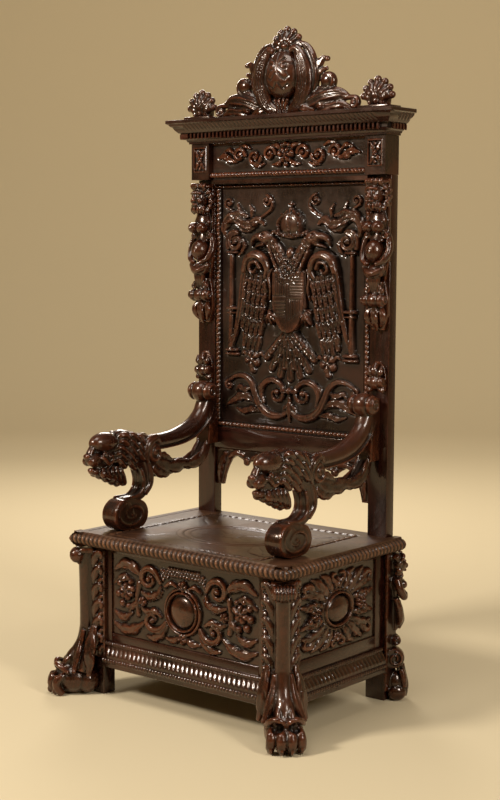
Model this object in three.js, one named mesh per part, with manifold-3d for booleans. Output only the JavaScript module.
// A carved walnut throne: a panelled chest on four corner consoles carries the seat board, two
// lion-headed arms and a tall framed back with frieze, cornice and crest.
// Millimetres, X to the sitter's left, Y to the rear, Z up, the floor at Z = 0.
import * as THREE from 'three';
import { mergeVertices } from 'three/addons/utils/BufferGeometryUtils.js';
import Module from 'manifold-3d';

const wasm = await Module();
wasm.setup();

// Seat
const seatWidth = 800;
const seatDepth = 560;
const seatTop = 480;
const seatThickness = 42;
const seatEdgeRelief = 24;

// Chest
const chestSetback = 46;
const cornerPost = 46;
const frontStile = 79;
const sideStile = 71;
const frameThickness = 26;
const panelThickness = 14;
const panelRecess = 6;
const topRail = 13;
const bottomRailTop = 188;
const sideRailTop = 200;
const chestBottom = 92;
const postShoulder = 89;
const floorThickness = 16;
const backBoard = 20;

// Back
const postWidth = 66;
const postDepth = 35;
const postOuter = 358;
const seatBehindPosts = 4;
const postTop = 1510;
const backRailBottom = 686;
const backRailHeight = 64;
const backRailDepth = 26;
const panelTop = 1496;
const backPanelSetback = 9;
const backPanelThickness = 18;
const beadWidth = 23;
const beadRise = 12;
const topBeadHeight = 13;
const apronDrop = 118;
const apronThickness = 16;

// Frieze, cornice and crest
const friezeTop = 1619;
const friezeDepth = 50;
const friezeThickness = 40;
const blockDepth = 67.6;
const blockWidth = 69;
const corniceHeight = 71;
const corniceOverhang = 57.4;
const dentilPitch = 22.5;
const dentilRise = 12;
const crestSetback = 51;
const crestHeight = 252;
const crestThickness = 24;
const acroterionHeight = 88;
const acroterionPlace = 325;
const plinthWidth = 100;
const plinthDepth = 70;
const plinthHeight = 10;

// Arms
const armPlace = 304;
const armWidth = 52;
const armHeight = 413;
const armReach = 541;
const rosetteClearance = 7;

// Consoles
const consoleCover = 60;
const rearConsoleCover = 42;
const consolePlate = 10;
const shaftWidth = 38;
const consoleTop = 434;

// Herms on the posts
const hermTop = 1500;
const hermHeight = 440;

// The small space left between two pieces that touch
const gap = 0.3;

// Facets smaller than this are left out of the carving
const carvingFacet = 6;

// How finely curved carving is faceted, as a share of the numbers given with each form
const fineness = 0.42;

const chestHalf = seatWidth / 2 - chestSetback;
const chestFront = chestSetback;
const seatBottom = seatTop - seatThickness;
const postRear = seatDepth - seatBehindPosts;
const postInner = postOuter - postWidth;
const postFront = postRear - postDepth;
const backRailTop = backRailBottom + backRailHeight;
const backPanelFront = postFront + backPanelSetback;
const friezeFront = postRear - friezeDepth;
const blockFront = postRear - blockDepth;
const crestPlane = postRear - crestSetback;
const corniceTop = friezeTop + corniceHeight;

// Solids

function toSolid(geometry) {
  const bare = geometry.index ? geometry.toNonIndexed() : geometry.clone();
  bare.deleteAttribute('normal');
  bare.deleteAttribute('uv');
  const merged = mergeVertices(bare, 1e-4);
  const mesh = new wasm.Mesh({
    numProp: 3,
    vertProperties: new Float32Array(merged.attributes.position.array),
    triVerts: new Uint32Array(merged.index.array),
  });
  return new wasm.Manifold(mesh);
}

function toGeometry(solid) {
  const mesh = solid.getMesh();
  const geometry = new THREE.BufferGeometry();
  geometry.setAttribute('position', new THREE.BufferAttribute(new Float32Array(mesh.vertProperties), 3));
  geometry.setIndex(new THREE.BufferAttribute(new Uint32Array(mesh.triVerts), 1));
  geometry.computeVertexNormals();
  return geometry;
}

function joined(solids) {
  return solids.reduce((whole, solid) => whole.add(solid));
}

// Whether two sheets of the surface touch along an edge or at nearly the same points
function pinched(solid) {
  const geometry = toGeometry(solid);
  geometry.deleteAttribute('normal');
  const { index } = mergeVertices(geometry, 2e-4);
  const uses = new Map();
  for (let i = 0; i < index.count; i += 3) {
    const corners = [index.getX(i), index.getX(i + 1), index.getX(i + 2)];
    if (new Set(corners).size === 3) {
      corners.forEach((corner, k) => {
        const next = corners[(k + 1) % 3];
        const edge = `${Math.min(corner, next)} ${Math.max(corner, next)}`;
        uses.set(edge, (uses.get(edge) ?? 0) + 1);
      });
    }
  }
  return [...uses.values()].some((count) => count !== 2);
}

// The solid with the hollows that its carving encloses filled up
function filled(solid) {
  const geometry = toGeometry(solid);
  geometry.deleteAttribute('normal');
  const { index, attributes: { position } } = mergeVertices(geometry, 1e-4);
  const parent = Array.from({ length: position.count }, (_, i) => i);
  const root = (i) => {
    let at = i;
    while (parent[at] !== at) {
      at = parent[at];
    }
    return at;
  };
  const faces = [];
  for (let i = 0; i < index.count; i += 3) {
    const face = [index.getX(i), index.getX(i + 1), index.getX(i + 2)];
    faces.push(face);
    parent[root(face[0])] = root(face[1]);
    parent[root(face[1])] = root(face[2]);
  }
  const volumes = new Map();
  for (const face of faces) {
    const [a, b, c] = face.map((corner) => new THREE.Vector3().fromBufferAttribute(position, corner));
    const shell = root(face[0]);
    volumes.set(shell, (volumes.get(shell) ?? 0) + a.dot(b.cross(c)));
  }
  const kept = new THREE.BufferGeometry();
  kept.setAttribute('position', position);
  kept.setIndex(faces.filter((face) => volumes.get(root(face[0])) > 0).flat());
  return toSolid(kept);
}

// The solid with its smallest facets left out, as coarse as it can be while its surface stays simple
function coarser(solid, facet) {
  const whole = filled(solid);
  for (let size = facet; size > facet / 8; size /= 1.12) {
    const candidate = filled(whole.simplify(size));
    if (!pinched(candidate)) {
      return candidate;
    }
  }
  return whole;
}

function carved(solids) {
  return coarser(joined(solids), carvingFacet);
}

function block(x0, x1, y0, y1, z0, z1) {
  const geometry = new THREE.BoxGeometry(x1 - x0, y1 - y0, z1 - z0);
  geometry.translate((x0 + x1) / 2, (y0 + y1) / 2, (z0 + z1) / 2);
  return toSolid(geometry);
}

// A slab whose front and two ends follow a moulded edge: levels are pairs of height and projection.
function mouldedSlab(half, front, rear, levels) {
  const steps = levels.length - 1;
  const geometry = new THREE.BoxGeometry(2, 1, 1, 1, 1, steps);
  const place = geometry.attributes.position;
  for (let i = 0; i < place.count; i += 1) {
    const [height, projection] = levels[Math.round((place.getZ(i) + 0.5) * steps)];
    const side = Math.sign(place.getX(i));
    const y = place.getY(i) < 0 ? front - projection : rear;
    place.setXYZ(i, side * (half + projection), y, height);
  }
  return toSolid(geometry);
}

// A straight moulding along X: the profile is a list of pairs of height and projection to the front.
function moulding(profile, x0, x1, wall) {
  const outline = [new THREE.Vector2(wall, profile[0][0])];
  for (const [height, projection] of profile) {
    outline.push(new THREE.Vector2(wall - projection, height));
  }
  outline.push(new THREE.Vector2(wall, profile[profile.length - 1][0]));
  const geometry = new THREE.ExtrudeGeometry(new THREE.Shape(outline.reverse()), {
    depth: x1 - x0,
    bevelEnabled: false,
  });
  geometry.applyMatrix4(new THREE.Matrix4().makeBasis(
    new THREE.Vector3(0, 1, 0),
    new THREE.Vector3(0, 0, 1),
    new THREE.Vector3(1, 0, 0),
  ));
  geometry.translate(x0, 0, 0);
  return toSolid(geometry);
}

// A plate with an outline drawn in X and Z, from y = back towards the front.
function plate(points, back, depth) {
  const outline = new THREE.Shape(points.map(([x, z]) => new THREE.Vector2(x, z)));
  const geometry = new THREE.ExtrudeGeometry(outline, { depth, bevelEnabled: false });
  geometry.rotateX(Math.PI / 2);
  geometry.translate(0, back, 0);
  return toSolid(geometry);
}

// A slice with an outline drawn in Y and Z, with its thickness along X.
function slice(points, width, middle = 0) {
  const outline = new THREE.Shape(points.map(([y, z]) => new THREE.Vector2(y, z)));
  const geometry = new THREE.ExtrudeGeometry(outline, { depth: width, bevelEnabled: false });
  geometry.applyMatrix4(new THREE.Matrix4().makeBasis(
    new THREE.Vector3(0, 1, 0),
    new THREE.Vector3(0, 0, 1),
    new THREE.Vector3(1, 0, 0),
  ));
  geometry.translate(middle - width / 2, 0, 0);
  return toSolid(geometry);
}

function ball(x, y, z, rx, ry, rz, around = 7, down = 5) {
  const facets = Math.max(5, Math.round(around * (0.3 + fineness)));
  const geometry = new THREE.SphereGeometry(1, facets, Math.max(3, Math.round(down * (0.2 + fineness))));
  geometry.rotateX(Math.PI / 2);
  geometry.scale(rx, ry, rz);
  geometry.translate(x, y, z);
  return toSolid(geometry);
}

// A turned roll with its axis along X: the profile lists pairs of place along the axis and radius.
function roll(profile, y, z, around = 8) {
  const points = profile.map(([along, radius]) => new THREE.Vector2(radius, along));
  const geometry = new THREE.LatheGeometry(points, around);
  geometry.rotateZ(-Math.PI / 2);
  geometry.translate(0, y, z);
  return toSolid(geometry);
}

function sampled(values, t) {
  const place = t * (values.length - 1);
  const index = Math.min(Math.floor(place), values.length - 2);
  return THREE.MathUtils.lerp(values[index], values[index + 1], place - index);
}

// A limb that tapers along a smooth curve: widths are across it and heights along `up`.
function limb(points, widths, heights, { up = [0, 0, 1], sides = 6, steps = 8 } = {}) {
  const curve = new THREE.CatmullRomCurve3(points.map((p) => new THREE.Vector3(...p)));
  const lengths = Math.max(2, Math.round(steps * fineness));
  const facets = Math.max(3, Math.round(sides * (0.3 + fineness)));
  const geometry = new THREE.CylinderGeometry(1, 1, 1, facets, lengths);
  const place = geometry.attributes.position;
  for (let i = 0; i < place.count; i += 1) {
    const t = place.getY(i) + 0.5;
    const along = curve.getTangent(t);
    const out = new THREE.Vector3(...up);
    out.addScaledVector(along, -out.dot(along)).normalize();
    const across = new THREE.Vector3().crossVectors(along, out);
    const spot = curve.getPoint(t);
    spot.addScaledVector(across, place.getX(i) * sampled(widths, t));
    spot.addScaledVector(out, place.getZ(i) * sampled(heights, t));
    place.setXYZ(i, spot.x, spot.y, spot.z);
  }
  return toSolid(geometry);
}

// A raised stroke of carving on a ground at y = 0, drawn in X and Z; it is sunk a little below.
const strokeRoot = 7;

function stroke(points, widths, rises, { sides = 3, steps = 5, ground = 0 } = {}) {
  const last = points.length - 1;
  const spine = points.map(([x, z], i) => {
    const rise = sampled(rises, i / last);
    return [x, ground - (rise - strokeRoot) / 2, z];
  });
  const heights = rises.map((rise) => (rise + strokeRoot) / 2);
  return limb(spine, widths, heights, { up: [0, -1, 0], sides, steps });
}

// The same stroke on both sides of the middle line.
function strokePair(points, widths, rises, options) {
  const other = points.map(([x, z]) => [-x, z]);
  return [stroke(points, widths, rises, options), stroke(other, widths, rises, options)];
}

function ballPair(x, y, z, rx, ry, rz, around, down) {
  return [ball(x, y, z, rx, ry, rz, around, down), ball(-x, y, z, rx, ry, rz, around, down)];
}

// Points of a spiral in X and Z, from the outside in; turn is in quarter circles.
function spiral(x, z, outer, inner, start, turn, count = 6) {
  const points = [];
  for (let i = 0; i <= count; i += 1) {
    const t = i / count;
    const angle = (start + turn * t) * Math.PI / 2;
    const radius = THREE.MathUtils.lerp(outer, inner, t);
    points.push([x + radius * Math.cos(angle), z + radius * Math.sin(angle)]);
  }
  return points;
}

// The solid stretched along each axis about its own origin
function resized(solid, sx, sy, sz) {
  const geometry = toGeometry(solid);
  geometry.scale(sx, sy, sz);
  return toSolid(geometry);
}

// The finished throne is gathered in one group

const throne = new THREE.Group();

const tones = {
  frame: 0x2b1812,
  carving: 0x3a2018,
  seat: 0x5a3a26,
  panel: 0x2f211c,
};

function addPiece(name, solid, tone, { place = [0, 0, 0], turn = 0, mirror = false } = {}) {
  let geometry = toGeometry(coarser(solid, gap));
  if (mirror) {
    geometry.scale(-1, 1, 1);
    const order = geometry.index.array;
    for (let i = 0; i < order.length; i += 3) {
      [order[i], order[i + 1]] = [order[i + 1], order[i]];
    }
    geometry.computeVertexNormals();
  }
  const material = new THREE.MeshStandardMaterial({ color: tones[tone], roughness: 0.4, metalness: 0 });
  const mesh = new THREE.Mesh(geometry, material);
  mesh.name = name;
  mesh.position.set(...place);
  mesh.rotation.z = turn;
  throne.add(mesh);
}

function addPair(name, solid, tone, { place = [0, 0, 0], turn = 0 } = {}) {
  const [x, y, z] = place;
  addPiece(`${name}_right`, solid, tone, { place, turn });
  addPiece(`${name}_left`, solid, tone, { place: [-x, y, z], turn: -turn, mirror: true });
}

// Chest: posts, rails, panels, floor and back board

function frontPost() {
  const inner = chestHalf - frontStile;
  const rear = chestFront + sideStile;
  return joined([
    block(inner, chestHalf, chestFront, chestFront + frameThickness, postShoulder, seatBottom - gap),
    block(chestHalf - frameThickness, chestHalf, chestFront, rear, postShoulder, seatBottom - gap),
    block(chestHalf - cornerPost, chestHalf, chestFront, chestFront + cornerPost, 0, chestBottom - gap),
  ]);
}

const frontOpening = chestHalf - frontStile - gap;
const sideStart = chestFront + sideStile + gap;
const sideEnd = postFront - gap;
const rearStile = 43;
const sidePanelEnd = sideEnd - rearStile - gap;
const frameInside = chestFront + frameThickness;

// Low carving drawn at the size it was designed for, then fitted to its panel
const frontDesign = [550, 237];
const sideDesign = [360, 222];

function frontRelief() {
  const parts = [];
  const ring = new THREE.TorusGeometry(50, 9, 3, 12);
  ring.rotateX(Math.PI / 2);
  ring.translate(0, -5, 0);
  parts.push(toSolid(ring));
  parts.push(ball(0, 0, 0, 40, 16, 40, 10, 6));
  parts.push(...strokePair([[52, 40], [80, 78], [112, 96], [140, 82], [132, 58], [112, 62]],
    [6, 8, 9, 8, 6, 5], [8, 12, 14, 14, 12, 8], { steps: 9 }));
  parts.push(...strokePair([[52, -38], [82, -74], [116, -92], [142, -74], [130, -52], [112, -58]],
    [6, 8, 9, 8, 6, 5], [8, 12, 14, 14, 12, 8], { steps: 9 }));
  parts.push(...strokePair([[70, 12], [110, 6], [150, 22]], [6, 11, 5], [8, 13, 6]));
  parts.push(...strokePair([[150, -24], [190, -58], [236, -92]], [6, 13, 5], [8, 15, 6]));
  parts.push(...strokePair([[158, 52], [196, 80], [240, 98]], [6, 13, 5], [8, 15, 6]));
  parts.push(...strokePair([[176, 10], [206, 40], [248, 50]], [6, 12, 5], [8, 14, 6]));
  parts.push(...strokePair([[180, -8], [216, -26], [250, -34]], [6, 12, 5], [8, 14, 6]));
  for (const [x, z] of [[176, 14], [200, -4]]) {
    parts.push(...ballPair(x, -5, z, 17, 13, 17, 6, 4));
  }
  return parts;
}

function sideRelief() {
  const parts = [];
  const ring = new THREE.TorusGeometry(1, 0.13, 3, 12);
  ring.scale(64, 49, 60);
  ring.rotateX(Math.PI / 2);
  ring.translate(0, -6, 0);
  parts.push(toSolid(ring));
  parts.push(ball(0, 0, 0, 46, 15, 34, 10, 6));
  for (const up of [1, -1]) {
    parts.push(...strokePair([[44, 38 * up], [84, 58 * up], [124, 84 * up], [160, 88 * up]],
      [8, 15, 13, 4], [8, 14, 13, 5], { steps: 6 }));
    parts.push(...strokePair([[66, 26 * up], [104, 30 * up], [148, 46 * up]], [6, 12, 4], [8, 13, 5]));
    parts.push(...strokePair([[26, 48 * up], [44, 76 * up], [76, 98 * up]], [6, 12, 4], [8, 13, 5]));
  }
  return parts;
}

// A board with its carving: the board's face is at y = 0 and its foot at z = 0.
function carvedBoard(width, height, thickness, relief, design) {
  const board = block(-width / 2, width / 2, 0, thickness, 0, height);
  const [drawnWidth, drawnHeight] = design;
  const carving = carved([
    block(-drawnWidth * 0.1, drawnWidth * 0.1, 1, 4, -drawnHeight * 0.1, drawnHeight * 0.1),
    ...relief,
  ]);
  const fitted = resized(carving, width / drawnWidth, 1, height / drawnHeight);
  return board.add(fitted.translate([0, 0, height / 2]));
}

addPair('front_post', frontPost(), 'frame');

const frontWidth = 2 * frontOpening;
const frontPanelHeight = seatBottom - topRail - bottomRailTop - 2 * gap;
addPiece('front_panel', carvedBoard(frontWidth, frontPanelHeight, panelThickness, frontRelief(), frontDesign),
  'carving', { place: [0, chestFront + panelRecess, bottomRailTop + gap] });
addPiece('front_top_rail',
  block(-frontOpening, frontOpening, chestFront, frameInside, seatBottom - topRail, seatBottom - gap),
  'frame');
addPiece('front_bottom_rail',
  block(-frontOpening, frontOpening, chestFront, frameInside, chestBottom, bottomRailTop), 'frame');

const sideMiddle = (sideStart + sidePanelEnd) / 2;
const sideWidth = sidePanelEnd - sideStart;
const sidePanelHeight = seatBottom - topRail - sideRailTop - 2 * gap;
addPair('side_panel', carvedBoard(sideWidth, sidePanelHeight, panelThickness, sideRelief(), sideDesign),
  'carving', { place: [chestHalf - panelRecess, sideMiddle, sideRailTop + gap], turn: Math.PI / 2 });
const sideInside = chestHalf - frameThickness;
addPair('side_top_rail',
  block(sideInside, chestHalf, sideStart, sidePanelEnd, seatBottom - topRail, seatBottom - gap), 'frame');
addPair('side_bottom_rail',
  block(sideInside, chestHalf, sideStart, sidePanelEnd, chestBottom, sideRailTop), 'frame');
addPair('side_stile',
  block(sideInside, chestHalf, sidePanelEnd + gap, sideEnd, chestBottom, seatBottom - gap), 'frame');

const floorHalf = sideInside - gap;
addPiece('chest_floor',
  block(-floorHalf, floorHalf, frameInside + gap, sideEnd, chestBottom, chestBottom + floorThickness),
  'frame');
addPiece('chest_back',
  block(-postInner + gap, postInner - gap, postFront, postFront + backBoard, chestBottom, seatBottom - gap),
  'frame');

// Base mouldings: a fillet, a carved cyma, a punched bead and a plain foot
const baseProfile = [
  [89, 0], [89, 18], [103, 18], [104, 23], [116, 23], [118, 17], [126, 19], [142, 11], [149, 6],
  [151, 9], [163, 9], [164, 5], [164, 0],
];
const mouldingEnd = chestHalf - consoleCover - 4;
const baseWall = chestFront - gap;
addPiece('base_moulding_front', moulding(baseProfile, -mouldingEnd, mouldingEnd, baseWall), 'carving');
const sideMouldStart = chestFront + consoleCover + 4;
const sideMouldEnd = postRear - rearConsoleCover - 8;
const sideMouldHalf = (sideMouldEnd - sideMouldStart) / 2;
addPair('base_moulding_side', moulding(baseProfile, -sideMouldHalf, sideMouldHalf, 0), 'carving', {
  place: [chestHalf + gap, (sideMouldStart + sideMouldEnd) / 2, 0],
  turn: Math.PI / 2,
});

// Front consoles: drawn facing the front with the chest's corner at the origin

// The two leaf strips that lie on the chest's faces beside the corner
function cornerStrips(cover, thickness, bottom, top) {
  const s = Math.SQRT1_2;
  const far = cover * s;
  const offset = thickness * s;
  const outline = new THREE.Shape([
    new THREE.Vector2(0, -thickness / s),
    new THREE.Vector2(far + offset, far - offset),
    new THREE.Vector2(far, far),
    new THREE.Vector2(0, 0),
    new THREE.Vector2(-far, far),
    new THREE.Vector2(-far - offset, far - offset),
  ]);
  const geometry = new THREE.ExtrudeGeometry(outline, { depth: top - bottom, bevelEnabled: false });
  geometry.translate(0, 0, bottom);
  return toSolid(geometry);
}

// The corner of the post itself, which every console is cut to fit
function cornerWedge(height) {
  const reach = 200;
  const outline = new THREE.Shape([
    new THREE.Vector2(0, -gap / Math.SQRT1_2),
    new THREE.Vector2(reach, reach - gap / Math.SQRT1_2),
    new THREE.Vector2(-reach, reach - gap / Math.SQRT1_2),
  ]);
  const geometry = new THREE.ExtrudeGeometry(outline, { depth: height + 20, bevelEnabled: false });
  geometry.translate(0, 0, -10);
  return toSolid(geometry);
}

function underFloor() {
  return block(-300, 300, -300, 300, -120, 0);
}

// A curling leaf on a strip, drawn along the strip and upwards
function stripLeaf(foot, side) {
  const s = Math.SQRT1_2;
  const path = [[20, 0], [28, 26], [42, 42], [57, 37]];
  const points = path.map(([along, rise]) => {
    const out = consolePlate + 2;
    return [side * (along * s + out * s), along * s - out * s, foot + rise];
  });
  return limb(points, [4, 7, 7, 3], [3, 6, 7, 4], { up: [side * s, -s, 0], sides: 4, steps: 4 });
}

function frontConsole() {
  const parts = [cornerStrips(consoleCover, consolePlate, 112, consoleTop)];
  const profile = [
    [8, consoleTop], [-40, consoleTop - 4], [-44, 396], [-40, 384], [-38, 300], [-37, 240],
    [-38, 195], [-42, 155], [-52, 122], [-66, 104], [-80, 96], [-84, 84], [-74, 70], [-40, 60], [8, 60],
  ];
  parts.push(slice(profile, shaftWidth));
  const ribs = [[-31, 0], [-30, 13], [-24, 17], [-18, 14], [-12, 19], [-6, 15], [0, 20], [6, 15],
    [12, 19], [18, 14], [24, 17], [30, 13], [31, 0]];
  parts.push(roll(ribs, -46, 409));
  for (const side of [1, -1]) {
    for (const foot of [165, 212, 260, 308, 362]) {
      parts.push(stripLeaf(foot, side));
    }
    parts.push(limb([[side * 20, -36, 150], [side * 34, -34, 118], [side * 44, -28, 86],
      [side * 50, -12, 60]],
      [9, 12, 13, 12], [12, 18, 22, 20], { up: [0, -1, 0], steps: 5 }));
    parts.push(limb([[side * 13, -40, 150], [side * 17, -60, 116], [side * 19, -78, 92],
      [side * 18, -72, 66]],
      [7, 9, 11, 9], [7, 9, 12, 10], { up: [0, -1, 0], sides: 5, steps: 5 }));
  }
  parts.push(ball(0, -26, 34, 54, 62, 46, 10, 6));
  for (const toe of [-1.5, -0.5, 0.5, 1.5]) {
    const shorter = 9 * (Math.abs(toe) - 0.5);
    parts.push(limb([
      [20 * toe, -46, 58], [25 * toe, -80 + shorter, 58], [28 * toe, -106 + shorter, 40],
      [28 * toe, -98 + shorter, 4],
    ], [14, 15, 16, 11], [14, 15, 16, 10], { up: [0, -1, 0.4], sides: 7, steps: 6 }));
  }
  return carved(parts).subtract(cornerWedge(consoleTop)).subtract(underFloor());
}

const eighthTurn = Math.PI / 4;
addPair('front_console', frontConsole(), 'carving', { place: [chestHalf, chestFront, 0], turn: eighthTurn });

// Rear consoles: a half figure over a drapery taper, a knee scroll and a round foot
function rearConsole() {
  const parts = [cornerStrips(rearConsoleCover, consolePlate, 40, consoleTop)];
  parts.push(slice([
    [8, consoleTop], [-20, consoleTop], [-22, 412], [-14, 404], [-14, 300], [-10, 262], [-16, 240],
    [-16, 226], [-8, 205], [-20, 190], [-22, 168], [-26, 154], [-33, 128], [-32, 106], [-24, 88],
    [-34, 70], [-42, 46], [-40, 18], [-34, 0], [8, 0],
  ], 30));
  parts.push(ball(0, -12, 386, 20, 22, 27, 8, 6));
  parts.push(ball(0, -8, 412, 30, 22, 12, 8, 4));
  parts.push(ball(0, -8, 342, 32, 20, 24, 8, 6));
  parts.push(...ballPair(12, -22, 344, 10, 10, 11, 6, 4));
  for (const side of [1, -1]) {
    parts.push(limb([[side * 27, -8, 356], [side * 33, -16, 326], [side * 22, -28, 308],
      [side * 6, -30, 318]],
      [9, 9, 8, 7], [9, 9, 8, 7], { up: [0, -1, 0], sides: 5, steps: 6 }));
    parts.push(limb([[side * 22, -6, 300], [side * 20, -14, 270], [side * 18, -18, 236],
      [side * 12, -14, 222]],
      [9, 9, 10, 5], [9, 9, 9, 5], { up: [0, -1, 0], sides: 5, steps: 5 }));
    parts.push(ball(side * 20, -12, 22, 17, 26, 24, 7, 5));
  }
  parts.push(roll([[-28, 0], [-27, 12], [-14, 15], [0, 16], [14, 15], [27, 12], [28, 0]], -9, 176));
  parts.push(roll([[-24, 0], [-23, 26], [0, 29], [23, 26], [24, 0]], -4, 124, 12));
  parts.push(ball(0, -14, 40, 26, 30, 40, 8, 6));
  return carved(parts).subtract(cornerWedge(consoleTop)).subtract(underFloor());
}

addPair('rear_console', rearConsole(), 'carving', { place: [postOuter, postRear, 0], turn: 3 * eighthTurn });

// Seat board with a rounded edge, notched for the two posts
const seatLevels = [
  [0, -seatEdgeRelief], [0.1, -0.42 * seatEdgeRelief], [0.28, -0.1 * seatEdgeRelief], [0.5, 0],
  [0.7, -0.1 * seatEdgeRelief], [0.85, -0.34 * seatEdgeRelief], [0.9, -0.5 * seatEdgeRelief],
  [1, -0.55 * seatEdgeRelief],
].map(([share, projection]) => [seatBottom + share * seatThickness, projection]);

function seatBoard() {
  const board = mouldedSlab(seatWidth / 2, 0, seatDepth, seatLevels);
  const past = 5;
  const notch = (near, far) => block(near - gap, far + gap, postFront - gap, seatDepth + past,
    seatBottom - past, seatTop + past);
  return board.subtract(notch(postInner, postOuter)).subtract(notch(-postOuter, -postInner));
}

addPiece('seat_board', seatBoard(), 'seat');

// Arms: a scroll foot, a curved neck, a lion's head, a volute and a swept rail, all one carving.
// They are drawn with the seat, the post's face and the size given here, then fitted to theirs.
const armDesign = { seat: 480, post: 521, reach: 541, height: 413 };

function arm() {
  const half = armWidth / 2;
  const parts = [];
  const footZ = armDesign.seat;
  const foot = [];
  for (let i = 0; i <= 8; i += 1) {
    const angle = Math.PI / 2 + i * Math.PI / 8;
    foot.push([118 + 46 * Math.cos(angle), footZ + 44 + 44 * Math.sin(angle)]);
  }
  for (let i = 0; i <= 6; i += 1) {
    const angle = -Math.PI / 2 + i * Math.PI / 6;
    foot.push([168 + 36 * Math.cos(angle), footZ + 40 + 40 * Math.sin(angle)]);
  }
  parts.push(slice(foot, armWidth));
  parts.push(roll([[-half - 4, 0], [-half - 3, 13], [-half + 2, 18], [half - 2, 18], [half + 3, 13],
    [half + 4, 0]], 128, footZ + 42, 8));
  const neck = [[0, 140, 562], [0, 176, 574], [0, 196, 604], [0, 194, 640], [0, 168, 680], [0, 130, 700]];
  parts.push(limb(neck, [half - 3, half - 4, half - 5, half - 4, half, half],
    [12, 20, 32, 34, 38, 40], { up: [0, -1, 0.2], sides: 8, steps: 9 }));
  // Skull, brow, muzzle, jaw and beard
  parts.push(limb([[0, 250, 715], [0, 150, 722], [0, 80, 728], [0, 34, 742], [0, 6, 748], [0, -6, 744]],
    [half, half + 2, half + 2, half + 1, half - 5, 12], [34, 52, 50, 34, 24, 12], { sides: 10, steps: 10 }));
  parts.push(limb([[0, 90, 700], [0, 40, 704], [0, 0, 702], [0, -16, 697]],
    [half - 2, half - 2, half - 6, 12], [30, 24, 21, 12], { sides: 8, steps: 6 }));
  parts.push(limb([[0, 110, 672], [0, 50, 674], [0, 12, 676], [0, 0, 676]],
    [half - 3, half - 5, half - 8, 10], [26, 18, 15, 8], { sides: 8, steps: 5 }));
  for (const side of [1, -1]) {
    parts.push(ball(side * (half - 3), 44, 716, 8, 11, 10, 7, 5));
    for (const [y, z, r] of [[104, 742, 20], [118, 702, 21], [92, 664, 18], [112, 652, 18], [66, 656, 13]]) {
      parts.push(ball(side * (half - 8), y, z, 13, r, r, 6, 4));
    }
    parts.push(limb([[side * (half - 6), 4, 716], [side * (half - 3), 36, 696], [side * (half - 1), 66, 700]],
      [6, 7, 4], [6, 7, 4], { up: [side, 0, 0], sides: 5, steps: 4 }));
  }
  // Volute behind the head
  parts.push(roll([[-half - 5, 0], [-half - 4, 12], [-half - 1, 15], [-half, 30], [-half + 8, 36],
    [half - 8, 36], [half, 30], [half + 1, 15], [half + 4, 12], [half + 5, 0]], 232, 697, 12));
  // Rail with a raised lower fillet
  const rail = [[0, 214, 726], [0, 290, 727], [0, 360, 735], [0, 420, 754], [0, 465, 790], [0, 490, 836]];
  parts.push(limb(rail, [half - 2, half - 2, half - 2, half - 2, half, half],
    [24, 24, 25, 28, 28, 24], { sides: 8, steps: 9 }));
  const fillet = [[0, 250, 706], [0, 300, 707], [0, 370, 714], [0, 432, 734], [0, 484, 774], [0, 506, 815]];
  parts.push(limb(fillet, [half + 2, half + 2, half + 2, half + 2, half + 2, half + 2],
    [8, 7, 7, 7, 8, 8], { sides: 6, steps: 8 }));
  // Roll against the post
  parts.push(roll([[-half - 16, 0], [-half - 14, 16], [-half + 4, 27], [-5, 31], [5, 31], [half - 4, 27],
    [half + 14, 16], [half + 16, 0]], armDesign.post - 44, 862, 10));
  parts.push(block(-half, half, armDesign.post - 44, armDesign.post, 700, 880));
  // Acanthus bracket under the rail
  const bracket = [[0, 214, 664], [0, 262, 652], [0, 330, 636], [0, 400, 634], [0, 450, 656],
    [0, 490, 700], [0, 505, 720]];
  parts.push(limb(bracket, [half - 4, half - 6, half - 6, half - 6, half - 6, half - 6, half - 8],
    [20, 20, 18, 15, 13, 14, 12], { sides: 7, steps: 10 }));
  const drawn = carved(parts).translate([0, -armDesign.post, -armDesign.seat]);
  const fitted = resized(drawn, 1, armReach / armDesign.reach, armHeight / armDesign.height)
    .translate([0, postFront, seatTop]);
  const past = 100;
  const high = seatTop + armHeight + past;
  const keep = block(-past, past, postFront - armReach - past, postFront - gap, seatTop + gap, high);
  const besideBead = block(-past, postInner - armPlace, backPanelFront - beadRise - 2 * gap, postFront + 1,
    seatTop, high);
  return fitted.intersect(keep).subtract(besideBead);
}

const armSolid = arm();
addPair('arm', armSolid, 'carving', { place: [armPlace, 0, 0] });

// Rosette with a leaf above each arm's roll
function rosette() {
  const parts = [
    plate([[-26, 0], [26, 0], [28, 40], [20, 72], [8, 84], [-8, 84], [-20, 72], [-28, 40]], 0, 12),
    ball(0, -20, 26, 22, 20, 22, 8, 6),
  ];
  for (const side of [1, -1]) {
    parts.push(limb([[side * 5, -14, 42], [side * 18, -20, 62], [side * 8, -16, 80]], [5, 8, 4], [6, 9, 5],
      { up: [0, -1, 0], sides: 5, steps: 4 }));
    parts.push(ball(side * 20, -14, 14, 10, 14, 11, 6, 4));
  }
  return carved(parts).subtract(block(-60, 60, 0, 60, -60, 160));
}

const rosetteFoot = seatTop + armHeight + rosetteClearance;
addPair('arm_rosette', rosette(), 'carving', {
  place: [(postOuter + postInner) / 2, postFront - gap, rosetteFoot],
});

// Back: two tall posts from the floor to the frieze, with rails, panel and beads between

addPair('rear_post', block(postInner, postOuter, postFront, postRear, 0, postTop - gap), 'frame');
const between = postInner - gap;
addPiece('back_rail', block(-between, between, postFront, postFront + backRailDepth, backRailBottom,
  backRailTop - gap), 'frame');

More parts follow.
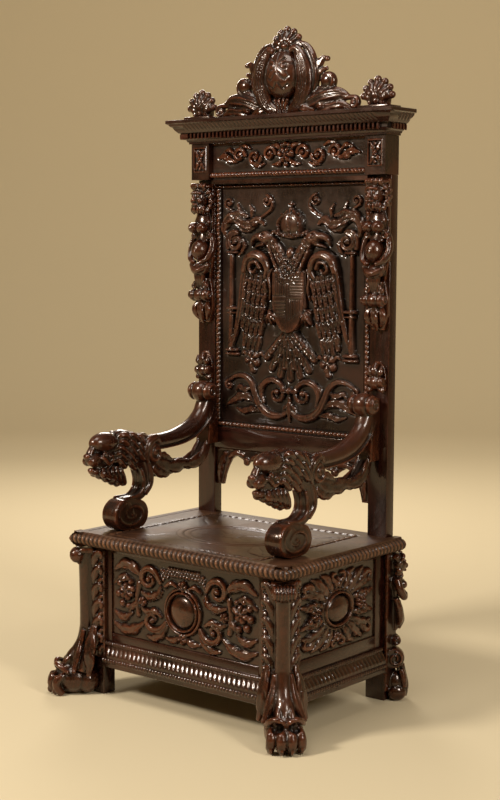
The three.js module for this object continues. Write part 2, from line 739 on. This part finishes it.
// Apron under the rail: a scalloped leafy edge with pendants and long side brackets
function apron() {
  const half = [
    [0, -26], [22, -34], [44, -24], [70, -34], [96, -26], [120, -30], [146, -34], [168, -48], [188, -34],
    [210, -24], [232, -38], [248, -62], [262, -84], [268, -apronDrop],
    [between, -apronDrop + 6],
  ];
  const left = half.slice(1).map(([x, z]) => [-x, z]).reverse();
  const outline = [[-between, 0], [-between, -apronDrop + 6], ...left.slice(1), ...half, [between, 0]];
  const parts = [plate(outline, apronThickness, apronThickness)];
  parts.push(ball(0, -2, -16, 26, 9, 16, 8, 5));
  parts.push(...strokePair([[28, -14], [64, -22], [100, -14]], [6, 10, 5], [8, 10, 6], { steps: 4 }));
  parts.push(...strokePair([[104, -12], [136, -22], [160, -34]], [6, 10, 6], [8, 10, 8], { steps: 4 }));
  parts.push(...ballPair(168, -4, -40, 13, 10, 14, 6, 4));
  parts.push(...strokePair([[178, -20], [214, -16], [244, -34]], [6, 10, 6], [8, 10, 8], { steps: 4 }));
  parts.push(...strokePair([[252, -20], [268, -50], [272, -80], [270, -104]], [8, 13, 12, 7],
    [8, 13, 12, 8]));
  return carved(parts);
}

addPiece('apron', apron(), 'carving', { place: [0, postFront + 8, backRailBottom - gap] });

// Carving of the back panel, drawn about the middle of the panel's foot
const panelDesign = [584, 746];

function crown(base) {
  const parts = [
    plate([[-44, base], [44, base], [48, base + 14], [-48, base + 14]], 1, 22),
    ball(0, 0, base + 30, 50, 20, 36, 12, 6),
  ];
  for (const x of [-32, 0, 32]) {
    parts.push(stroke([[x, base + 10], [x * 1.12, base + 36], [x * 0.3, base + 66]], [4, 5, 3], [23, 26, 14],
      { steps: 4 }));
  }
  parts.push(plate([[-5, base + 60], [5, base + 60], [5, base + 80], [-5, base + 80]], 1, 10));
  return parts;
}

function shield(top) {
  const points = [];
  for (let i = 0; i <= 6; i += 1) {
    const t = i / 6;
    points.push([58 * Math.cos(t * Math.PI / 2) ** 0.6, top - 60 - 84 * Math.sin(t * Math.PI / 2)]);
  }
  const half = [[0, top], [26, top - 6], [48, top], [58, top - 8], ...points.slice(0, 6)];
  const left = half.slice(1).map(([x, z]) => [-x, z]).reverse();
  return [plate([...left, [0, top - 6], ...half.slice(1), [0, top - 146]], 1, 14),
    ball(0, -10, top - 62, 46, 10, 58, 10, 6)];
}

// A stroke's spot seen from the panel's foot instead of from the floor
const panelFoot = 750;

function low(points) {
  return points.map(([x, z]) => [x, z - panelFoot]);
}

function eagleRelief() {
  const parts = [...crown(1350 - panelFoot), ...shield(1236 - panelFoot)];
  const pair = (points, widths, rises, options) => {
    parts.push(...strokePair(low(points), widths, rises, options));
  };
  // Necks, heads and beaks
  pair([[12, 1236], [26, 1270], [44, 1304], [72, 1326], [104, 1324], [136, 1312]],
    [20, 17, 14, 13, 12, 4], [20, 22, 22, 20, 16, 6], { sides: 6, steps: 8 });
  // Wing arms curling over at the shoulder
  pair([[112, 1236], [100, 1256], [114, 1276], [142, 1278], [168, 1256], [180, 1210], [190, 1150],
    [206, 1118]],
    [6, 9, 11, 12, 12, 10, 8, 5], [12, 16, 20, 20, 18, 16, 12, 6], { sides: 5, steps: 11 });
  // Flight feathers
  for (let i = 0; i < 4; i += 1) {
    const t = i / 3;
    const top = [92 + 64 * t, 1206 + 18 * t];
    const tip = [118 + 68 * t, 1010 - 30 * Math.sin(t * Math.PI)];
    const middle = [(top[0] + tip[0]) / 2 + 6, (top[1] + tip[1]) / 2];
    pair([top, middle, tip], [13, 15, 6], [14, 12, 6], { steps: 4 });
  }
  // Short feathers beside the shield
  pair([[70, 1222], [92, 1190], [100, 1140]], [10, 15, 8], [14, 15, 8], { steps: 4 });
  // Claws
  pair([[38, 1118], [62, 1104], [86, 1094]], [9, 12, 6], [14, 16, 10], { steps: 4 });
  // Tail
  parts.push(stroke(low([[0, 1090], [0, 1010], [0, 918]]), [14, 18, 9], [14, 14, 6], { steps: 4 }));
  pair([[10, 1084], [36, 1010], [54, 930]], [10, 16, 8], [12, 13, 6], { steps: 4 });
  pair([[20, 1082], [66, 1024], [92, 962]], [9, 15, 8], [10, 12, 6], { steps: 4 });
  pair([[30, 1086], [72, 1052], [98, 1012]], [8, 12, 7], [9, 11, 6], { steps: 4 });
  // Pillars with volute capitals
  for (const side of [1, -1]) {
    const shaft = new THREE.CylinderGeometry(15, 15, 300, 6, 1);
    shaft.rotateX(Math.PI / 2);
    shaft.translate(side * 222, -3, 1140 - panelFoot);
    parts.push(toSolid(shaft));
    parts.push(block(side * 222 - 20, side * 222 + 20, -20, 1, 978 - panelFoot, 996 - panelFoot));
    parts.push(block(side * 222 - 18, side * 222 + 18, -19, 1, 1284 - panelFoot, 1296 - panelFoot));
  }
  pair(spiral(206, 1318, 26, 6, 1, -5, 8), [8, 8, 7, 5], [16, 15, 14, 12], { steps: 9 });
  // Acanthus in the upper corners
  pair([[232, 1318], [250, 1360], [214, 1400], [160, 1398], [110, 1390]], [8, 13, 17, 13, 4],
    [12, 16, 18, 14, 6], { steps: 8 });
  pair([[228, 1462], [240, 1440], [222, 1422], [186, 1424], [140, 1420], [104, 1438], [92, 1456],
    [108, 1462]],
    [5, 6, 7, 8, 8, 6, 6, 4], [10, 12, 12, 14, 14, 12, 10, 8], { steps: 11 });
  // Flowers
  parts.push(...ballPair(142, -6, 960 - panelFoot, 15, 13, 15, 6, 4));
  pair([[106, 970], [122, 978], [142, 972], [164, 980], [178, 964]], [6, 10, 8, 10, 6], [8, 12, 10, 12, 8]);
  pair([[118, 950], [142, 938], [168, 950]], [7, 10, 7], [8, 12, 8], { steps: 4 });
  // Lower scrolls
  pair([[2, 814], [26, 800], [66, 802], [108, 826], [134, 866], [154, 904], [196, 916], [228, 906],
    [240, 888]],
    [7, 11, 14, 15, 13, 12, 10, 7, 5], [10, 15, 17, 17, 16, 15, 14, 12, 8], { steps: 12 });
  pair([[92, 846], [96, 884], [66, 904], [32, 894], [26, 862], [50, 852], [66, 874]],
    [7, 8, 9, 9, 7, 6, 5], [12, 14, 15, 15, 13, 12, 10], { steps: 10 });
  pair([[124, 826], [166, 842], [206, 836], [246, 818]], [8, 14, 12, 4], [10, 14, 12, 6], { steps: 5 });
  parts.push(...ballPair(48, -6, 876 - panelFoot, 12, 11, 12, 6, 4));
  parts.push(stroke(low([[0, 848], [0, 812], [0, 786]]), [7, 12, 5], [10, 14, 6], { steps: 4 }));
  return parts;
}

function backPanel() {
  const height = panelTop - backRailTop;
  const width = 2 * between;
  const board = block(-width / 2, width / 2, 0, backPanelThickness, 0, height);
  const backing = block(-90, 90, 1, 6, 60, 700);
  const carving = resized(carved([backing, ...eagleRelief()]), width / panelDesign[0], 1,
    height / panelDesign[1]);
  return board.add(carving);
}

addPiece('back_panel', backPanel(), 'panel', { place: [0, backPanelFront, backRailTop] });

// Beads that frame the panel: half-round rods laid on its margins
const beadFoot = backPanelFront - gap;
const beadSection = [[0, 0], [0.12, 0.62], [0.34, 0.94], [0.5, 1], [0.66, 0.94], [0.88, 0.62], [1, 0]];

function beadProfile(base, width) {
  return beadSection.map(([share, rise]) => [base + share * width, 1 + rise * (beadRise - 1)]);
}

const sideBeadLength = panelTop - topBeadHeight - backRailTop - beadWidth - 2 * gap;
const rod = moulding(beadProfile(-beadWidth / 2, beadWidth), 0, sideBeadLength, 0);

function uprightRod() {
  const geometry = toGeometry(rod);
  geometry.rotateY(-Math.PI / 2);
  return toSolid(geometry);
}

addPiece('panel_bead_bottom', moulding(beadProfile(backRailTop, beadWidth - gap), -between, between,
  beadFoot), 'carving');
addPiece('panel_bead_top', moulding(beadProfile(panelTop - topBeadHeight, topBeadHeight), -between, between,
  beadFoot), 'carving');
addPair('panel_bead', uprightRod(), 'carving', {
  place: [between - beadWidth / 2, beadFoot, backRailTop + beadWidth],
});

// Frieze: a recessed board with a twist at its foot and a rinceau, between two blocks

function friezeRelief() {
  const parts = [ball(0, 0, 0, 20, 22, 30, 8, 6)];
  const pair = (points, widths, rises, options) => parts.push(...strokePair(points, widths, rises, options));
  pair([[16, 14], [34, 28], [52, 20]], [8, 11, 5], [14, 18, 10], { steps: 4 });
  pair([[14, -12], [30, -28], [48, -30]], [8, 10, 5], [14, 16, 8], { steps: 4 });
  pair(spiral(64, 2, 26, 7, 2, -5, 7), [8, 8, 7, 6], [14, 16, 15, 12], { steps: 8 });
  pair(spiral(120, -2, 27, 7, 2, 5, 7), [8, 9, 7, 6], [14, 16, 15, 12], { steps: 8 });
  pair(spiral(178, 2, 24, 7, 2, -5, 7), [8, 8, 7, 6], [14, 16, 15, 12], { steps: 8 });
  pair([[196, -14], [222, 0], [256, 2]], [8, 16, 4], [12, 16, 6], { steps: 5 });
  return parts;
}

const friezeDesign = [580, 122];
const blockInner = postOuter + 1 - blockWidth;
const twistBottom = 18;
const twistHeight = 18;
const twistRise = 12;

function frieze() {
  const height = friezeTop - panelTop - 2 * gap;
  const width = 2 * (blockInner - gap);
  const board = block(-width / 2, width / 2, 0, friezeThickness, 0, height);
  const backing = block(-200, 200, 0.5, 6, -6, 6);
  const carving = resized(carved([backing, ...friezeRelief()]), width / friezeDesign[0], 1,
    height / friezeDesign[1]);
  const twist = moulding(beadSection.map(([share, rise]) => [twistBottom + share * twistHeight,
    rise * twistRise]), -width / 2 + 4, width / 2 - 4, 1);
  const listel = block(-width / 2, width / 2, -4, 1, 0, twistBottom - 4);
  return joined([board, twist, listel, carving.translate([0, 0, 0.64 * height])]);
}

addPiece('frieze', frieze(), 'carving', { place: [0, friezeFront, panelTop + gap] });

function friezeBlock() {
  const height = friezeTop - gap - postTop;
  const parts = [block(0, blockWidth, 0, postRear - blockFront, 0, height)];
  const frame = block(9, blockWidth - 9, -3, 1, 25, height - 14);
  const sunk = block(14, blockWidth - 14, -8, -0.5, 30, height - 19);
  parts.push(frame.subtract(sunk));
  const middle = [blockWidth / 2, (height + 11) / 2];
  for (const side of [1, -1]) {
    parts.push(stroke([[middle[0] - 17 * side, middle[1] - 23], [middle[0] + side, middle[1]],
      [middle[0] + 17 * side, middle[1] + 23]], [3, 6, 3], [3, 6 + side, 3], { steps: 6, ground: 0.5 }));
  }
  return joined(parts);
}

addPair('frieze_block', friezeBlock(), 'carving', { place: [blockInner, blockFront, postTop] });

// Cornice: fillet, cove, dentil course, carved ogee and a thin slab, returned on both sides
const corniceLevels = [
  [0, 0.1], [0.07, 0.1], [0.09, 0.16], [0.17, 0.22], [0.2, 0.3], [0.23, 0.32], [0.46, 0.32], [0.47, 0.52],
  [0.52, 0.54], [0.53, 0.6], [0.66, 0.72], [0.76, 0.84], [0.82, 0.88], [0.84, 0.94], [0.86, 1], [1, 1],
];
const dentilBottom = 0.25;
const dentilTop = 0.465;

function dentils(count, length, y, bottom, height) {
  const outline = [new THREE.Vector2(-length / 2, 1)];
  const pitch = length / count;
  const tooth = pitch * 0.55;
  for (let i = 0; i < count; i += 1) {
    const start = -length / 2 + i * pitch + (pitch - tooth) / 2;
    outline.push(new THREE.Vector2(start, 0));
    outline.push(new THREE.Vector2(start + tooth / 2, -dentilRise));
    outline.push(new THREE.Vector2(start + tooth, 0));
  }
  outline.push(new THREE.Vector2(length / 2, 1));
  const geometry = new THREE.ExtrudeGeometry(new THREE.Shape(outline.reverse()), {
    depth: height,
    bevelEnabled: false,
  });
  geometry.translate(0, y, bottom);
  return geometry;
}

function cornice() {
  const half = postOuter + 1;
  const levels = corniceLevels.map(([share, out]) => [corniceHeight * share, out * corniceOverhang]);
  const parts = [mouldedSlab(half, blockFront, postRear, levels)];
  const bedHalf = half + 0.32 * corniceOverhang;
  const bedFront = blockFront - 0.32 * corniceOverhang;
  const bottom = dentilBottom * corniceHeight;
  const tall = (dentilTop - dentilBottom) * corniceHeight;
  const frontCount = Math.round(2 * bedHalf / dentilPitch);
  parts.push(toSolid(dentils(frontCount, 2 * bedHalf, bedFront, bottom, tall)));
  const sideLength = postRear - bedFront;
  const sideCount = Math.round(sideLength / dentilPitch);
  for (const side of [1, -1]) {
    const row = dentils(sideCount, sideLength, 0, bottom, tall);
    row.rotateZ(side * Math.PI / 2);
    row.translate(side * bedHalf, (bedFront + postRear) / 2, 0);
    parts.push(toSolid(row));
  }
  return joined(parts);
}

addPiece('cornice', cornice(), 'frame', { place: [0, 0, friezeTop] });

// Crest: a cartouche with an egg-shaped boss, a shell above, volutes and leaves at the sides
const crestDesign = 252;

function crest() {
  const back = crestThickness / 2;
  const parts = [];
  const body = [];
  for (let i = 0; i < 16; i += 1) {
    const angle = i / 16 * 2 * Math.PI;
    body.push([86 * Math.cos(angle), 104 + 92 * Math.sin(angle)]);
  }
  parts.push(plate(body, back, crestThickness));
  parts.push(plate([[-262, 0], [262, 0], [252, 12], [150, 26], [60, 44], [-60, 44], [-150, 26], [-252, 12]],
    back, crestThickness * 0.8));
  parts.push(ball(0, -back + 4, 114, 56, 34, 66, 12, 8));
  const pair = (points, widths, heights, options) => {
    const line = (side) => points.map(([x, z, out = 0]) => [side * x, -back - out + 8, z]);
    for (const side of [1, -1]) {
      parts.push(limb(line(side), widths, heights, { up: [0, -1, 0], sides: 5, ...options }));
    }
  };
  // Broad leaves that wrap the boss
  pair([[22, 6], [64, 40], [86, 100], [78, 160], [44, 186], [16, 184]], [12, 20, 22, 20, 14, 6],
    [10, 16, 18, 18, 14, 6], { steps: 9 });
  pair([[40, 10], [88, 44], [108, 98], [104, 156], [74, 190], [40, 198]], [8, 9, 10, 11, 10, 5],
    [8, 10, 12, 12, 11, 6], { steps: 9 });
  // Side volutes
  pair([[100, 66], [132, 72], [160, 100], [148, 122], [124, 110]], [9, 9, 11, 10, 6], [9, 9, 11, 10, 7],
    { steps: 8 });
  for (const side of [1, -1]) {
    parts.push(ball(side * 154, -4, 88, 26, 18, 27, 8, 6));
  }
  // Small upright leaves
  pair([[104, 118], [122, 134], [136, 158]], [8, 10, 4], [7, 9, 4], { steps: 4 });
  pair([[108, 112], [132, 122], [148, 140]], [7, 9, 4], [6, 8, 4], { steps: 4 });
  // Lying acanthus
  pair([[56, 12], [110, 24], [164, 44], [214, 50], [246, 34]], [14, 20, 18, 14, 6], [10, 15, 14, 12, 6],
    { steps: 7 });
  pair([[150, 14], [206, 24], [244, 18], [266, 4]], [10, 13, 10, 5], [8, 12, 10, 5], { steps: 5 });
  pair([[130, 48], [168, 58], [196, 60]], [7, 10, 5], [7, 9, 5], { steps: 4 });
  // Shell
  for (let i = -3; i <= 3; i += 1) {
    const angle = Math.PI / 2 - i * 0.42;
    const reach = 62 - 4 * Math.abs(i);
    const root = [14 * Math.cos(angle), 186 + 8 * Math.sin(angle)];
    const tip = [reach * Math.cos(angle), 188 + reach * Math.sin(angle)];
    const middle = [(root[0] + tip[0]) / 2, (root[1] + tip[1]) / 2];
    parts.push(limb([[root[0], 0, root[1]], [middle[0], -6, middle[1]], [tip[0], -2, tip[1]]], [8, 11, 9],
      [12, 14, 9], { up: [0, -1, 0], sides: 5, steps: 4 }));
  }
  const scale = crestHeight / crestDesign;
  const whole = carved(parts).subtract(block(-400, 400, -200, 200, -100, 0));
  return resized(whole, scale, scale, scale);
}

addPiece('crest', crest(), 'carving', { place: [0, crestPlane, corniceTop + gap] });

// Acroteria: a leafy shell on a square plinth above each end of the frieze
const acroterionDesign = 88;

function acroterion() {
  const parts = [plate([[-34, 0], [34, 0], [38, 26], [30, 54], [0, 66], [-30, 54], [-38, 26]], 12, 24)];
  for (let i = -3; i <= 3; i += 1) {
    const angle = Math.PI / 2 - i * 0.5;
    const reach = 60 - 3 * Math.abs(i);
    parts.push(limb([
      [6 * i, -4, 8], [0.55 * reach * Math.cos(angle), -10, 24 + 0.55 * reach * Math.sin(angle)],
      [0.72 * reach * Math.cos(angle), -4, 22 + reach * Math.sin(angle)],
    ], [7, 9, 5], [9, 11, 6], { up: [0, -1, 0], sides: 5, steps: 4 }));
  }
  const scale = acroterionHeight / acroterionDesign;
  const whole = carved(parts).subtract(block(-100, 100, -100, 100, -60, 0));
  return resized(whole, scale, scale, scale);
}

const plinthFoot = corniceTop + gap;
addPair('acroterion_plinth', block(-plinthWidth / 2, plinthWidth / 2, -plinthDepth / 2, plinthDepth / 2, 0,
  plinthHeight), 'frame', { place: [acroterionPlace, crestPlane, plinthFoot] });
addPair('acroterion', acroterion(), 'carving', {
  place: [acroterionPlace, crestPlane, plinthFoot + plinthHeight + gap],
});

// Herms: a bearded half figure over scrolls, drapery and a hanging leaf, in shares of their height
const hermDesign = 440;

function herm() {
  const parts = [plate([[-24, 12], [24, 12], [33, 90], [22, 150], [33, 210], [33, 436], [-33, 436],
    [-33, 210], [-22, 150], [-33, 90]], 0, 14)];
  // Head, hair, beard and cap of leaves
  parts.push(ball(0, -26, 392, 28, 28, 34, 8, 6));
  parts.push(ball(0, -46, 386, 8, 12, 12, 6, 4));
  parts.push(...ballPair(26, -22, 392, 14, 20, 32, 6, 5));
  parts.push(ball(0, -30, 360, 24, 26, 20, 8, 5));
  parts.push(ball(0, -22, 426, 36, 26, 13, 8, 4));
  // Breasts and belly
  parts.push(ball(0, -18, 300, 34, 26, 36, 8, 6));
  parts.push(...ballPair(17, -38, 304, 14, 14, 13, 6, 5));
  parts.push(ball(0, -22, 246, 32, 36, 44, 9, 6));
  for (const side of [1, -1]) {
    // Side scrolls
    parts.push(limb([[side * 26, -18, 318], [side * 38, -26, 286], [side * 40, -30, 246],
      [side * 32, -34, 212], [side * 18, -40, 202]], [8, 9, 10, 9, 6], [9, 11, 12, 11, 8],
      { up: [0, -1, 0], sides: 5, steps: 7 }));
    // Small volute over the leaf
    parts.push(ball(side * 26, -24, 98, 15, 18, 18, 7, 5));
    parts.push(limb([[side * 14, -16, 176], [side * 20, -18, 140], [side * 26, -20, 112]], [7, 7, 8],
      [9, 10, 10], { up: [0, -1, 0], sides: 5, steps: 4 }));
  }
  parts.push(ball(0, -20, 172, 30, 28, 22, 8, 5));
  parts.push(ball(0, -16, 134, 20, 22, 30, 8, 5));
  parts.push(ball(0, -22, 96, 20, 22, 24, 8, 5));
  for (const x of [-16, 0, 16]) {
    parts.push(limb([[x, -12, 84], [x * 1.5, -18, 50], [x, -12, 14 + 0.6 * Math.abs(x)]], [9, 12, 6],
      [8, 12, 6], { up: [0, -1, 0], sides: 5, steps: 5 }));
  }
  const scale = hermHeight / hermDesign;
  const whole = carved(parts).subtract(block(-120, 120, 0, 120, -60, 500));
  return resized(whole, scale, scale, scale);
}

addPair('herm', herm(), 'carving', {
  place: [(postOuter + postInner) / 2 + 1, postFront - gap, hermTop - hermHeight],
});

// The origin is on the floor, in the middle of the throne's length and depth
const bounds = new THREE.Box3().setFromObject(throne, true);
const middle = bounds.getCenter(new THREE.Vector3());
throne.position.set(-middle.x, -middle.y, -bounds.min.z);
throne.updateMatrixWorld(true);

export default throne;
